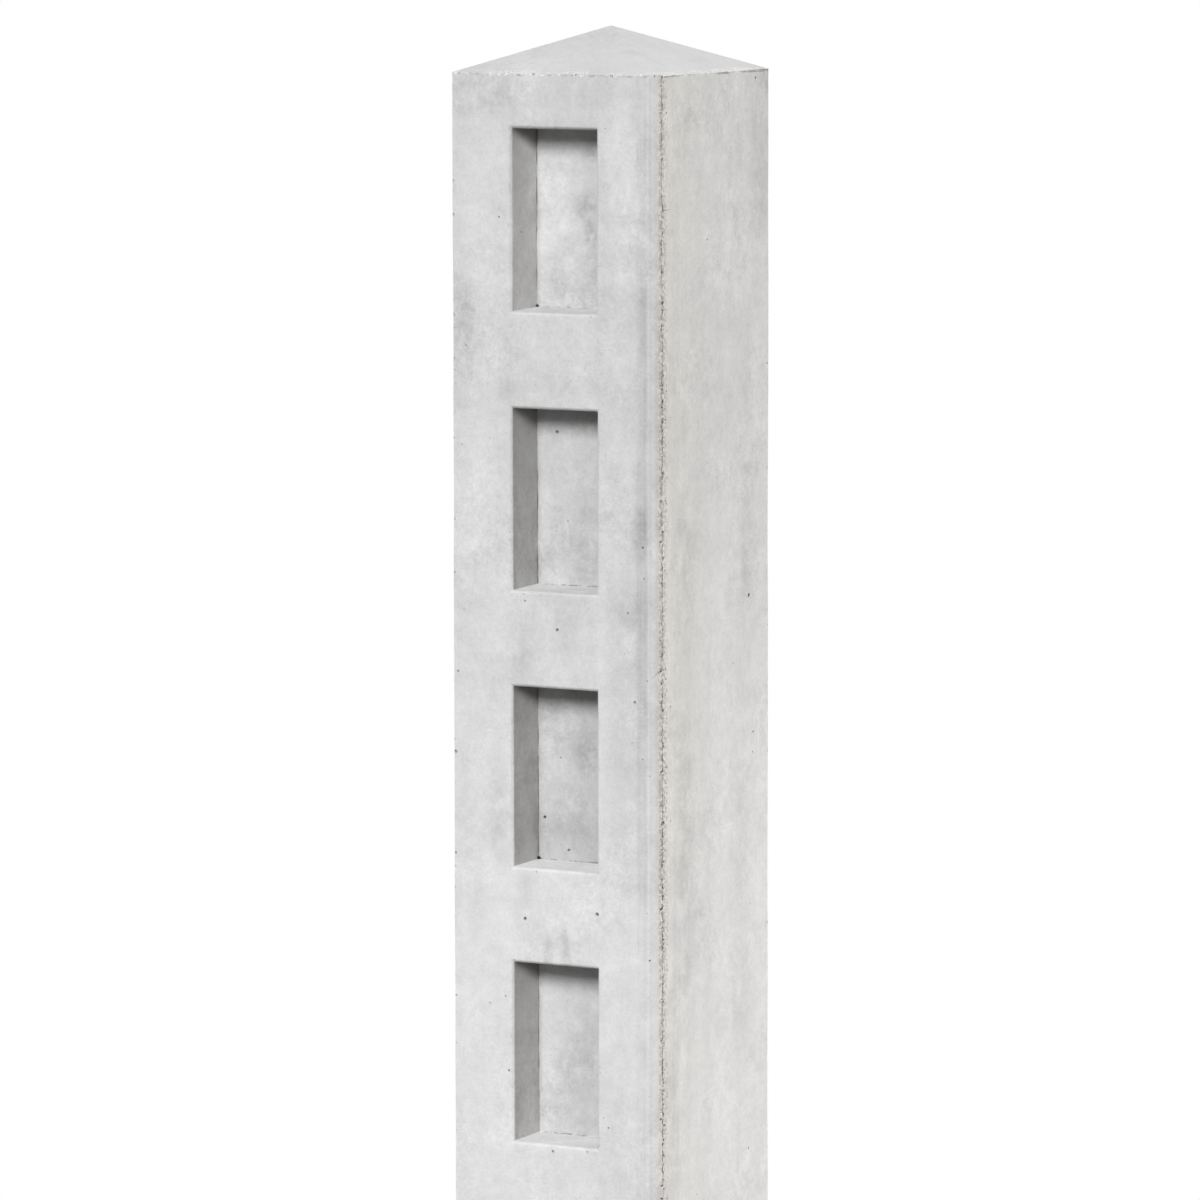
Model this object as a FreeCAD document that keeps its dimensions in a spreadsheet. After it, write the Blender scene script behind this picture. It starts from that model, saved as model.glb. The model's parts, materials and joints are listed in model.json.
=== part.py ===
"""Concrete fence post: a square precast shaft with a low four-sided cap and a row of rail pockets.

The post stands on its foot with +Z up, and the origin is the centre of the foot. The pockets are in
the front face, which looks along -Y. All lengths are in millimetres.
"""

import FreeCAD, Part
import os
import Sketcher

NODE = "post"
CAP_SIDES = 4

# Driving sizes: name, value, meaning. Each one can be changed by itself.
SIZES = [
    ("section_side", 100.0, "width and depth of the square shaft"),
    ("overall_height", 1200.0, "foot to the tip of the cap"),
    ("cap_rise", 19.2, "eave to the tip of the cap"),
    ("corner_chamfer", 4.0, "leg of the chamfer on the front right-hand edge"),
    ("arris_break", 0.8, "leg of the small break on the other upright edges"),
    ("pocket_count", 4, "rail pockets, one below the other"),
    ("pocket_width", 41.0, "clear width just inside the mouth"),
    ("pocket_height", 77.5, "clear height just inside the mouth"),
    ("pocket_depth", 20.0, "front face to the pocket's back wall"),
    ("pocket_draft", 1.0, "how far each wall leans in between mouth and back wall"),
    ("mouth_bevel", 1.0, "leg of the bevel round the mouth"),
    ("first_pocket_drop", 23.25, "eave down to the top of the first pocket"),
    ("pocket_web", 41.25, "concrete left between one pocket and the next"),
]

# Places that several features share, worked out from the driving sizes.
HALF = "sizes.section_side / 2"
EAVE = "(sizes.overall_height - sizes.cap_rise)"
POCKET_TOP = "(" + EAVE + " - sizes.first_pocket_drop)"
POCKET_FOOT = "(" + POCKET_TOP + " - sizes.pocket_height)"
POCKET_PITCH = "sizes.pocket_height + sizes.pocket_web"


def make_sheet(doc):
    """Keeps the driving sizes in a spreadsheet that every feature reads."""
    sheet = doc.addObject("Spreadsheet::Sheet", "sizes")
    for row, (name, value, meaning) in enumerate(SIZES, start=1):
        sheet.set(f"A{row}", name)
        sheet.set(f"B{row}", str(value))
        sheet.set(f"C{row}", meaning)
        sheet.setAlias(f"B{row}", name)
    doc.recompute()
    return sheet


def origin_feature(body, role):
    """Finds one of the body's own planes or axes, such as XY_Plane or Z_Axis."""
    return next(feature for feature in body.Origin.OriginFeatures if feature.Role == role)


def pinned_outline(body, name, plane, corners, lift="0"):
    """Draws a closed outline of straight sides and pins each corner to two expressions.

    The corners are given in the sketch's own directions, and lift moves the sketch along its normal.
    """
    sketch = body.newObject("Sketcher::SketchObject", name)
    sketch.AttachmentSupport = [(origin_feature(body, plane), "")]
    sketch.MapMode = "FlatFace"
    sketch.setExpression("AttachmentOffset.Base.z", lift)

    turn = 360.0 / len(corners)
    spoke = FreeCAD.Vector(10, 0, 0)
    upright = FreeCAD.Vector(0, 0, 1)
    first_draft = [FreeCAD.Rotation(upright, turn * index).multVec(spoke) for index in range(len(corners))]
    for start, end in zip(first_draft, first_draft[1:] + first_draft[:1]):
        sketch.addGeometry(Part.LineSegment(start, end), False)

    for index, (across, along) in enumerate(corners):
        previous = (index - 1) % len(corners)
        sketch.addConstraint(Sketcher.Constraint("Coincident", previous, 2, index, 1))
        for kind, place in (("DistanceX", across), ("DistanceY", along)):
            number = sketch.addConstraint(Sketcher.Constraint(kind, -1, 1, index, 1, 10.0))
            sketch.renameConstraint(number, f"{kind}{index}")
            sketch.setExpression(f"Constraints.{kind}{index}", place)
    return sketch


def make_shaft(body):
    """Pads the square section, with its one wide chamfer and three small breaks, to the full height."""
    low_break = f"-{HALF} + sizes.arris_break"
    high_break = f"{HALF} - sizes.arris_break"
    corners = [
        (low_break, f"-{HALF}"),
        (f"{HALF} - sizes.corner_chamfer", f"-{HALF}"),
        (HALF, f"-{HALF} + sizes.corner_chamfer"),
        (HALF, high_break),
        (high_break, HALF),
        (low_break, HALF),
        (f"-{HALF}", high_break),
        (f"-{HALF}", low_break),
    ]
    pad = body.newObject("PartDesign::Pad", "shaft")
    pad.Profile = pinned_outline(body, "shaft_section", "XY_Plane", corners)
    pad.setExpression("Length", "sizes.overall_height")
    return pad


def make_cap(body):
    """Strikes off one slope from the tip down to the eave, and repeats it on every side of the post.

    The cutter is a triangle above the slope line. The line runs on past the tip and past the eave,
    so that each end of the cutter is clear of the concrete.
    """
    overrun = "(sizes.section_side / 10)"
    slope_foot = f"{EAVE} - {overrun} * sizes.cap_rise / ({HALF})"
    slope_head = "sizes.overall_height + sizes.cap_rise"
    corners = [
        (f"{HALF} + {overrun}", slope_foot),
        (f"{HALF} + {overrun}", slope_head),
        (f"-{HALF}", slope_head),
    ]
    slope = body.newObject("PartDesign::Pocket", "cap_slope")
    slope.Profile = pinned_outline(body, "slope_cutter", "XZ_Plane", corners)
    slope.SideType = "Symmetric"
    slope.setExpression("Length", "2 * sizes.section_side")

    slopes = body.newObject("PartDesign::PolarPattern", "cap_slopes")
    slopes.Originals = [slope]
    slopes.Axis = (origin_feature(body, "Z_Axis"), [""])
    slopes.Angle = 360
    slopes.Occurrences = CAP_SIDES
    body.Tip = slopes
    return slopes


def pocket_outline(body, name, growth, depth):
    """Draws the first pocket's outline, grown on every side, at a depth behind the front face."""
    side = f"sizes.pocket_width / 2 + ({growth})"
    head = f"{POCKET_TOP} + ({growth})"
    foot = f"{POCKET_FOOT} - ({growth})"
    corners = [
        (f"-({side})", foot),
        (side, foot),
        (side, head),
        (f"-({side})", head),
    ]
    return pinned_outline(body, name, "XZ_Plane", corners, lift=f"{HALF} - ({depth})")


def cut_between(body, name, front, back):
    """Cuts the straight-sided space between two outlines."""
    cut = body.newObject("PartDesign::SubtractiveLoft", name)
    cut.Profile = front
    cut.Sections = [back]
    cut.Ruled = True
    return cut


def make_rail_pockets(body):
    """Cuts the first pocket as a bevelled mouth and a drafted recess, and repeats it down the face."""
    mouth = pocket_outline(body, "pocket_mouth", "sizes.mouth_bevel", "0")
    throat = pocket_outline(body, "pocket_throat", "0", "sizes.mouth_bevel")
    back = pocket_outline(body, "pocket_back", "-sizes.pocket_draft", "sizes.pocket_depth")
    bevel = cut_between(body, "mouth_bevel", mouth, throat)
    recess = cut_between(body, "recess", throat, back)

    row = body.newObject("PartDesign::LinearPattern", "rail_pockets")
    row.Originals = [bevel, recess]
    row.Direction = (origin_feature(body, "Z_Axis"), [""])
    row.Reversed = True
    row.Mode = "Spacing"
    row.setExpression("Offset", POCKET_PITCH)
    row.setExpression("Occurrences", "sizes.pocket_count")
    body.Tip = row
    return row


def pocket_volume(sheet):
    """Works out one pocket's volume as two frustums: the bevelled mouth and the drafted recess."""
    def frustum(front, back, depth):
        front_area = front[0] * front[1]
        back_area = back[0] * back[1]
        middle_area = (front[0] + back[0]) * (front[1] + back[1]) / 4
        return depth * (front_area + 4 * middle_area + back_area) / 6

    def grown(growth):
        return sheet.pocket_width + 2 * growth, sheet.pocket_height + 2 * growth

    mouth = frustum(grown(sheet.mouth_bevel), grown(0), sheet.mouth_bevel)
    recess = frustum(grown(0), grown(-sheet.pocket_draft), sheet.pocket_depth - sheet.mouth_bevel)
    return mouth + recess


def check_document(doc, sheet, body, cap, row):
    """Stops before anything is written if a feature failed or a cut took the wrong amount away."""
    failed = [item.Name for item in doc.Objects if {"Invalid", "Error"} & set(item.State)]
    if failed:
        raise RuntimeError(f"features that failed: {failed}")
    shape = body.Shape
    if shape.isNull() or not shape.isValid() or len(shape.Solids) != 1:
        raise RuntimeError("the post is not one valid solid")
    taken = cap.Shape.Volume - row.Shape.Volume
    wanted = sheet.pocket_count * pocket_volume(sheet)
    if abs(taken - wanted) > 0.001 * wanted:
        raise RuntimeError(f"the pockets took {taken:.0f} cubic millimetres, not {wanted:.0f}")
    if abs(shape.BoundBox.ZMax - sheet.overall_height) > 0.01:
        raise RuntimeError("the cap's tip is not at the overall height")


def main():
    doc = FreeCAD.newDocument("fence_post")
    sheet = make_sheet(doc)
    body = doc.addObject("PartDesign::Body", NODE)
    body.Label = NODE
    make_shaft(body)
    cap = make_cap(body)
    row = make_rail_pockets(body)
    doc.recompute()
    check_document(doc, sheet, body, cap, row)

    os.makedirs("parts", exist_ok=True)
    body.Shape.exportStep(f"parts/{body.Label}.step")
    box = body.Shape.BoundBox
    print(f"{body.Label}: {box.XLength:.1f} x {box.YLength:.1f} x {box.ZLength:.1f} mm,")
    print(f"volume {body.Shape.Volume / 1e6:.4f} litres, {len(body.Shape.Faces)} faces")


main()
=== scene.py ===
# %% [markdown]
# # A concrete fence post
# The post is one precast casting: a square shaft, a low four-sided cap that sheds the rain, and a row
# of blind pockets that take the ends of the rails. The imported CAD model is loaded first, because its
# box and its rail seats are what everything else is measured from.

import json
import math
import bmesh
import bpy
from mathutils import Matrix, Vector


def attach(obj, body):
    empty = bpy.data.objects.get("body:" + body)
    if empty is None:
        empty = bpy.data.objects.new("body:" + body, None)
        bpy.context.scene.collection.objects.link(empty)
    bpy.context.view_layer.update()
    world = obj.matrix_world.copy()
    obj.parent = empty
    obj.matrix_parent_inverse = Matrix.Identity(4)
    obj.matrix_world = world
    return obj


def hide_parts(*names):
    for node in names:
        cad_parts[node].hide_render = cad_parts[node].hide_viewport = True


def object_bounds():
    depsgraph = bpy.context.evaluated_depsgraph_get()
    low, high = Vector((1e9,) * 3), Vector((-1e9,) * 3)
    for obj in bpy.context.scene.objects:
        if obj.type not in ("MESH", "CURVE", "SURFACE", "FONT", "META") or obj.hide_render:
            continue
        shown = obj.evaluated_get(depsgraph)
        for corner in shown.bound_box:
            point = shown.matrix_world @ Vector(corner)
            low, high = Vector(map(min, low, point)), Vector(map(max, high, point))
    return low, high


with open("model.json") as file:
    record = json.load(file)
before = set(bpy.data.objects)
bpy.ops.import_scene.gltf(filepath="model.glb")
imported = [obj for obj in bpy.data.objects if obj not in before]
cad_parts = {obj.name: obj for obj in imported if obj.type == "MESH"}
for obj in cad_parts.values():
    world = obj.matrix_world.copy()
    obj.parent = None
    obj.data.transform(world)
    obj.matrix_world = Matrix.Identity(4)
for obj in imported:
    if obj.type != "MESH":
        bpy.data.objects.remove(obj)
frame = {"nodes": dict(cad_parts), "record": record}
cad_low, cad_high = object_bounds()
scene = bpy.context.scene
scene.view_settings.view_transform = "Standard"
print("CAD box in metres:", [round(side, 4) for side in cad_high - cad_low])

# %% [markdown]
# The big sizes come from the frame: the box gives the shaft, and the record's rail seats give the back
# wall of each pocket. The small sizes, such as bevels, are the driving dimensions of the casting, and
# they are written once here, in millimetres.

# %% Sizes of the casting
MM = 0.001
CAP_RISE = 19.2 * MM
CORNER_CHAMFER = 4.0 * MM
ARRIS_BREAK = 0.8 * MM
POCKET_WIDTH = 41.0 * MM
POCKET_HEIGHT = 77.5 * MM
POCKET_DRAFT = 1.0 * MM
MOUTH_BEVEL = 1.0 * MM

half_side = cad_high.x
height = cad_high.z
eave = height - CAP_RISE
mounts = frame["record"]["mounts"]
seats = [Vector(mount["pos_m"]) for mount in mounts if mount["name"].startswith("rail_seat")]
pocket_pitch = seats[0].z - seats[1].z
pocket_depth = seats[0].y + half_side
print(f"{len(seats)} pockets, {pocket_pitch / MM:.2f} mm apart and {pocket_depth / MM:.2f} mm deep")

# %% [markdown]
# ## The camera
# The photograph was taken with a long lens, from the right of the front face and a little above the
# cap. The lens and the viewpoint below were fitted to the post's own edges and pocket corners in it. The
# camera is then built from its three axes, which keeps the small roll exact.

# %% Camera
PICTURE_SIDE = 1200
FOCAL_PIXELS = 7314
SENSOR_WIDTH = 36.0
VIEW_AZIMUTH = math.radians(29.454)
VIEW_ELEVATION = math.radians(6.176)
VIEW_ROLL = math.radians(-0.089)
VIEW_DISTANCE = 3.1449
AIM_POINT = Vector((-0.0045, -0.0025, 0.9534))


def camera_axes():
    """Gives the camera's right, up and backward directions."""
    flat = math.cos(VIEW_ELEVATION)
    back = Vector((math.sin(VIEW_AZIMUTH) * flat, -math.cos(VIEW_AZIMUTH) * flat, math.sin(VIEW_ELEVATION)))
    level = Vector((math.cos(VIEW_AZIMUTH), math.sin(VIEW_AZIMUTH), 0))
    upright = back.cross(level)
    right = level * math.cos(VIEW_ROLL) + upright * math.sin(VIEW_ROLL)
    up = upright * math.cos(VIEW_ROLL) - level * math.sin(VIEW_ROLL)
    return right, up, back


right_axis, up_axis, back_axis = camera_axes()
eye = AIM_POINT + back_axis * VIEW_DISTANCE
camera_data = bpy.data.cameras.new("camera")
camera_data.sensor_width = SENSOR_WIDTH
camera_data.lens = FOCAL_PIXELS * SENSOR_WIDTH / PICTURE_SIDE
camera = bpy.data.objects.new("camera", camera_data)
turn = Matrix((right_axis, up_axis, back_axis)).transposed().to_4x4()
camera.matrix_world = Matrix.Translation(eye) @ turn
scene.collection.objects.link(camera)
scene.camera = camera
stand = [round(value, 3) for value in eye]
print("camera stands at", stand, "with a lens of", round(camera_data.lens, 1), "mm")


# %% [markdown]
# ## Helpers for Geometry Nodes
# The casting and its wear are made by small Geometry Nodes trees. A few helpers keep them readable: one
# starts a tree with named inputs, one adds a node and wires it, one ends the tree, one puts it on a piece,
# and one makes a plain mesh of the result. Every tree ends in Realize Instances and Set Material, so that
# what leaves it is one mesh with its finish on. Then come the nodes that are used again and again.

# %% Tree helpers
concrete = bpy.data.materials.new("concrete")


def start_tree(name, inputs):
    """Starts a tree with named inputs. Gives the tree and the sockets that carry the inputs."""
    tree = bpy.data.node_groups.new(name, "GeometryNodeTree")
    for label, kind in inputs.items():
        tree.interface.new_socket(label, in_out="INPUT", socket_type="NodeSocket" + kind)
    tree.interface.new_socket("Geometry", in_out="OUTPUT", socket_type="NodeSocketGeometry")
    return tree, tree.nodes.new("NodeGroupInput").outputs


def add_node(tree, kind, wires=None, **settings):
    """Adds a node. A wire is a socket, some sockets or a plain value, by the input's name or number."""
    node = tree.nodes.new(kind)
    for setting, value in settings.items():
        setattr(node, setting, value)
    for place, value in (wires or {}).items():
        sources = value if isinstance(value, list) else [value]
        for source in sources:
            if isinstance(source, bpy.types.NodeSocket):
                tree.links.new(source, node.inputs[place])
            else:
                node.inputs[place].default_value = source
    return node.outputs


def end_tree(tree, geometry):
    """Ends a tree in one realized mesh with the concrete on it."""
    solid = add_node(tree, "GeometryNodeRealizeInstances", {"Geometry": geometry})[0]
    coated = add_node(tree, "GeometryNodeSetMaterial", {"Geometry": solid, "Material": concrete})[0]
    add_node(tree, "NodeGroupOutput", {0: coated})


def use_tree(piece, tree, values):
    """Puts a tree on a piece as a modifier and sets its inputs by their identifiers."""
    modifier = piece.modifiers.new(tree.name, "NODES")
    modifier.node_group = tree
    for socket in tree.interface.items_tree:
        if socket.in_out == "INPUT" and socket.name in values:
            modifier[socket.identifier] = values[socket.name]


def settle(piece):
    """Replaces a piece's mesh by what its modifiers make of it, and takes the modifiers off."""
    graph = bpy.context.evaluated_depsgraph_get()
    mesh = bpy.data.meshes.new_from_object(piece.evaluated_get(graph), depsgraph=graph)
    piece.modifiers.clear()
    piece.data = mesh
    mesh.name = piece.name


print("every tree will put on the material", concrete.name)


# %% Helpers for maths inside a tree
def calculate(tree, operation, *values):
    """One Math node."""
    wires = {place: value for place, value in enumerate(values)}
    return add_node(tree, "ShaderNodeMath", wires, operation=operation)[0]


def vector_of(tree, x, y, z):
    """One Combine XYZ node."""
    return add_node(tree, "ShaderNodeCombineXYZ", {0: x, 1: y, 2: z})[0]


def scaled(tree, vector, factor):
    """One Vector Math node that makes a vector longer or shorter."""
    return add_node(tree, "ShaderNodeVectorMath", {0: vector, "Scale": factor}, operation="SCALE")[0]


def seeded_noise(tree, place, seed, scale, detail):
    """One Noise Texture node in four dimensions. The fourth is the seed."""
    wires = {"Vector": place, "W": seed, "Scale": scale, "Detail": detail}
    return add_node(tree, "ShaderNodeTexNoise", wires, noise_dimensions="4D")


def random_number(tree, low, high, seed):
    """One Random Value node for a number."""
    wires = {2: low, 3: high, "Seed": seed}
    return add_node(tree, "FunctionNodeRandomValue", wires, data_type="FLOAT")[1]


def random_vector(tree, low, high, seed):
    """One Random Value node for a vector."""
    wires = {0: low, 1: high, "Seed": seed}
    return add_node(tree, "FunctionNodeRandomValue", wires, data_type="FLOAT_VECTOR")[0]


# %% Helpers for shapes inside a tree
def shape_of(tree, thing):
    """The mesh of an object that the tree was given."""
    return add_node(tree, "GeometryNodeObjectInfo", {"Object": thing})["Geometry"]


def spread(tree, points, shape, fit=None):
    """Puts a shape on every point and makes one mesh of them. The fit gives their size and turn."""
    wires = {"Points": points, "Instance": shape, **(fit or {})}
    copies = add_node(tree, "GeometryNodeInstanceOnPoints", wires)[0]
    return add_node(tree, "GeometryNodeRealizeInstances", {0: copies})[0]


def cut_away(tree, solid, tool):
    """Takes a closed tool out of a closed solid."""
    wires = {0: solid, 1: tool}
    return add_node(tree, "GeometryNodeMeshBoolean", wires, operation="DIFFERENCE", solver="MANIFOLD")[0]


# %% [markdown]
# ## The mould: a section and a plug
# A casting takes its shape from its mould, so the mould is drawn first. The shaft's section is an
# outline of eight corners: the wide chamfer at the front right, and three edges that are only just broken.
# Points are added along each side, so that the long faces come out as a lattice of small cells: later the
# cells can bend a little and chips can be cut from them cleanly. Each pocket is left by a plug that is
# fixed inside the mould. The plug has three rings: one outside the face, one at the foot of the mouth's
# bevel, and one at the back wall.

# %% Section outline and pocket plug
CELL_WIDTH = 10.5 * MM


def wire_object(name, runs, closed=False):
    """Makes an object of bare edges from one or more runs of points."""
    points = []
    edges = []
    for run in runs:
        first = len(points)
        points.extend(run)
        edges.extend((index, index + 1) for index in range(first, len(points) - 1))
        if closed:
            edges.append((len(points) - 1, first))
    mesh = bpy.data.meshes.new(name)
    mesh.from_pydata(points, edges, [])
    wire = bpy.data.objects.new(name, mesh)
    scene.collection.objects.link(wire)
    return wire


def stepped(start, end, step):
    """Divides a straight side evenly and gives its points without the last one."""
    count = max(1, round((end - start).length / step))
    return [start.lerp(end, index / count) for index in range(count)]


def section_points():
    """Walks round the section and adds lattice points along each side."""
    inner = half_side - ARRIS_BREAK
    chamfered = half_side - CORNER_CHAMFER
    corners = [
        Vector((-inner, -half_side, 0)),
        Vector((chamfered, -half_side, 0)),
        Vector((half_side, -chamfered, 0)),
        Vector((half_side, inner, 0)),
        Vector((inner, half_side, 0)),
        Vector((-inner, half_side, 0)),
        Vector((-half_side, inner, 0)),
        Vector((-half_side, -inner, 0)),
    ]
    points = []
    for start, end in zip(corners, corners[1:] + corners[:1]):
        points.extend(stepped(start, end, CELL_WIDTH))
    return points


def plug_object():
    """Builds the closed plug that leaves one pocket, with its back wall centred on the origin."""
    depths_and_growths = [
        (-MOUTH_BEVEL, 2 * MOUTH_BEVEL),
        (MOUTH_BEVEL, 0),
        (pocket_depth, -POCKET_DRAFT),
    ]
    drawing = bmesh.new()
    rings = []
    for depth, growth in depths_and_growths:
        side = POCKET_WIDTH / 2 + growth
        rise = POCKET_HEIGHT / 2 + growth
        places = [(-side, -rise), (side, -rise), (side, rise), (-side, rise)]
        rings.append([drawing.verts.new((x, depth - pocket_depth, z)) for x, z in places])
    for near, far in zip(rings, rings[1:]):
        for index in range(4):
            after = (index + 1) % 4
            drawing.faces.new((near[index], near[after], far[after], far[index]))
    drawing.faces.new(rings[0])
    drawing.faces.new(rings[-1])
    bmesh.ops.recalc_face_normals(drawing, faces=drawing.faces)
    mesh = bpy.data.meshes.new("pocket_plug")
    drawing.to_mesh(mesh)
    drawing.free()
    plug = bpy.data.objects.new("pocket_plug", mesh)
    scene.collection.objects.link(plug)
    return plug


casting = wire_object("post_casting", [section_points()], closed=True)
plug = plug_object()
print("section outline has", len(casting.data.vertices), "points")

# %% [markdown]
# ## The casting
# The post's shape follows a rule, so a Geometry Nodes tree makes it. The section is swept up a line of
# rows, a wide pyramid keeps only what is under the cap's slopes, and a row of plugs is taken away from the
# front. The Manifold solver is used for every cut: it is fast, and it keeps the mesh closed. The rows
# divide the pocket pitch evenly, so each pocket meets the lattice in the same way. At the end the skin
# sinks unevenly by a fraction of a millimetre, as cast concrete does.

# %% Tree for the casting
ROWS_IN_A_PITCH = 15
WAVE_DEPTH = 0.35 * MM
WAVES_IN_A_METRE = 15.0
FOOT_KEPT_FLAT = 30 * MM


def casting_tree():
    """Sweeps the section, cuts the cap, takes out the pockets and lets the skin wave."""
    tree, given = start_tree("cast_post", {
        "Geometry": "Geometry", "Plug": "Object", "Row Step": "Float", "Row Count": "Int",
        "Height": "Float", "Cap Rise": "Float", "Half Side": "Float", "Pocket Count": "Int",
        "First Pocket": "Vector", "Pocket Pitch": "Float", "Wave Depth": "Float", "Flat Foot": "Float",
    })
    row_offset = vector_of(tree, 0.0, 0.0, given["Row Step"])
    rows = add_node(tree, "GeometryNodeMeshLine", {"Count": given["Row Count"], "Offset": row_offset})[0]
    path = add_node(tree, "GeometryNodeMeshToCurve", {"Mesh": rows})[0]
    section = add_node(tree, "GeometryNodeMeshToCurve", {"Mesh": given["Geometry"]})[0]
    sweep = {"Curve": path, "Profile Curve": section, "Fill Caps": True}
    shaft = add_node(tree, "GeometryNodeCurveToMesh", sweep)[0]

    depth = calculate(tree, "MULTIPLY", given["Height"], 1.1)
    reach = calculate(tree, "DIVIDE", given["Half Side"], given["Cap Rise"])
    corner_reach = calculate(tree, "MULTIPLY", calculate(tree, "MULTIPLY", depth, reach), math.sqrt(2))
    cone = {"Vertices": 4, "Radius Top": 0.0, "Radius Bottom": corner_reach, "Depth": depth}
    roof = add_node(tree, "GeometryNodeMeshCone", cone, fill_type="NGON")[0]
    drop = vector_of(tree, 0.0, 0.0, calculate(tree, "SUBTRACT", given["Height"], depth))
    eighth_turn = (0.0, 0.0, math.radians(45))
    turned = {0: roof, "Translation": drop, "Rotation": eighth_turn}
    roof = add_node(tree, "GeometryNodeTransform", turned)[0]
    capped = add_node(tree, "GeometryNodeMeshBoolean", {1: [shaft, roof]},
                      operation="INTERSECT", solver="MANIFOLD")[0]

    pitch = vector_of(tree, 0.0, 0.0, calculate(tree, "MULTIPLY", given["Pocket Pitch"], -1.0))
    places = add_node(tree, "GeometryNodeMeshLine", {
        "Count": given["Pocket Count"], "Start Location": given["First Pocket"], "Offset": pitch})[0]
    pocketed = cut_away(tree, capped, spread(tree, places, shape_of(tree, given["Plug"])))

    place = add_node(tree, "GeometryNodeInputPosition")[0]
    normal = add_node(tree, "GeometryNodeInputNormal")[0]
    level = add_node(tree, "ShaderNodeSeparateXYZ", {0: place})[2]
    swell = {"Vector": place, "Scale": WAVES_IN_A_METRE, "Detail": 1.0}
    noise = add_node(tree, "ShaderNodeTexNoise", swell)[0]
    wave = add_node(tree, "ShaderNodeMapRange", {"Value": noise, 1: 0.4, 2: 0.75})[0]
    clear_of_foot = add_node(tree, "ShaderNodeMapRange", {"Value": level, 2: given["Flat Foot"]})[0]
    sink = calculate(tree, "MULTIPLY", wave, given["Wave Depth"])
    sink = calculate(tree, "MULTIPLY", sink, clear_of_foot)
    inward = scaled(tree, normal, calculate(tree, "MULTIPLY", sink, -1.0))
    waved = add_node(tree, "GeometryNodeSetPosition", {"Geometry": pocketed, "Offset": inward})[0]
    end_tree(tree, waved)
    return tree


# %% Cast the post
def measured(mesh, loose_triangles=False):
    """Says how large a mesh is and whether it is closed. Loose triangles are merged first."""
    drawing = bmesh.new()
    drawing.from_mesh(mesh)
    if loose_triangles:
        bmesh.ops.remove_doubles(drawing, verts=drawing.verts, dist=0.001 * MM)
    litres = drawing.calc_volume(signed=True) * 1000
    open_edges = sum(not edge.is_manifold for edge in drawing.edges)
    drawing.free()
    return f"{len(mesh.polygons)} faces, {litres:.3f} litres, {open_edges} open edges"


row_step = pocket_pitch / ROWS_IN_A_PITCH
use_tree(casting, casting_tree(), {
    "Plug": plug, "Row Step": row_step, "Row Count": math.ceil(height / row_step) + 1,
    "Height": height, "Cap Rise": CAP_RISE, "Half Side": half_side, "Pocket Count": len(seats),
    "First Pocket": seats[0], "Pocket Pitch": pocket_pitch, "Wave Depth": WAVE_DEPTH,
    "Flat Foot": FOOT_KEPT_FLAT,
})
settle(casting)
print("casting:", measured(casting.data))
print("CAD post:", measured(frame["nodes"]["post"].data, loose_triangles=True))

# %% [markdown]
# A cast edge is never a perfect line: the paste leaves it rounded by a fraction of a millimetre, and that
# is what catches the light. A Bevel modifier with two segments does this on every edge that turns by more
# than the angle limit. It comes before the wear, because chips break through the rounded edge. A copy of
# this sound casting is kept, so that the wear can be measured against it later.

# %% Soften the cast edges
EDGE_ROUNDING = 0.35 * MM
EDGE_ANGLE = math.radians(20)

rounding = casting.modifiers.new("edge_rounding", "BEVEL")
rounding.width = EDGE_ROUNDING
rounding.segments = 2
rounding.limit_method = "ANGLE"
rounding.angle_limit = EDGE_ANGLE
settle(casting)
sound = bpy.data.objects.new("sound_casting", casting.data.copy())
scene.collection.objects.link(sound)
print("softened:", measured(casting.data))

# %% [markdown]
# ## Joint lines of the mould
# Where two boards of the mould met, a little paste leaked out and left a dark groove. One runs under the
# cap's eave, one along the foot and one up the left corner of each pocket's back wall, and the worst one
# goes down the chamfer's right-hand edge from top to bottom. A painted line would look flat in raking
# light, so a thin five-sided tube is swept along each path and cut away. Its width and its place wander
# with noise, so that a groove swells, thins out and almost closes.

# %% Tree for a joint line
def joint_line_tree():
    """Cuts a thin wandering groove along a path."""
    tree, given = start_tree("joint_line", {
        "Geometry": "Geometry", "Path": "Object", "Step": "Float", "Thinnest": "Float", "Widest": "Float",
        "Wander": "Float", "Fineness": "Float", "Seed": "Float",
    })
    line = add_node(tree, "GeometryNodeMeshToCurve", {0: shape_of(tree, given["Path"])})[0]
    even_steps = {"Curve": line, "Length": given["Step"]}
    line = add_node(tree, "GeometryNodeResampleCurve", even_steps, mode="LENGTH")[0]
    place = add_node(tree, "GeometryNodeInputPosition")[0]
    swing = seeded_noise(tree, place, given["Seed"], given["Fineness"], 2.0)[1]
    round_half = {0: swing, 1: (0.5, 0.5, 0.5)}
    centred = add_node(tree, "ShaderNodeVectorMath", round_half, operation="SUBTRACT")[0]
    offset = scaled(tree, centred, given["Wander"])
    other_seed = calculate(tree, "ADD", given["Seed"], 50.0)
    finer = calculate(tree, "MULTIPLY", given["Fineness"], 1.6)
    swelling = seeded_noise(tree, place, other_seed, finer, 1.0)[0]
    width = add_node(tree, "ShaderNodeMapRange", {
        0: swelling, 1: 0.35, 2: 0.65, 3: given["Thinnest"], 4: given["Widest"]})[0]
    line = add_node(tree, "GeometryNodeSetPosition", {"Geometry": line, "Offset": offset})[0]
    profile = add_node(tree, "GeometryNodeCurvePrimitiveCircle", {"Resolution": 5, "Radius": 0.5})[0]
    tube = add_node(tree, "GeometryNodeCurveToMesh", {
        "Curve": line, "Profile Curve": profile, "Scale": width, "Fill Caps": True})[0]
    end_tree(tree, cut_away(tree, given["Geometry"], tube))
    return tree


joint_tree = joint_line_tree()
print("joint line tree:", len(joint_tree.nodes), "nodes")

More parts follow.
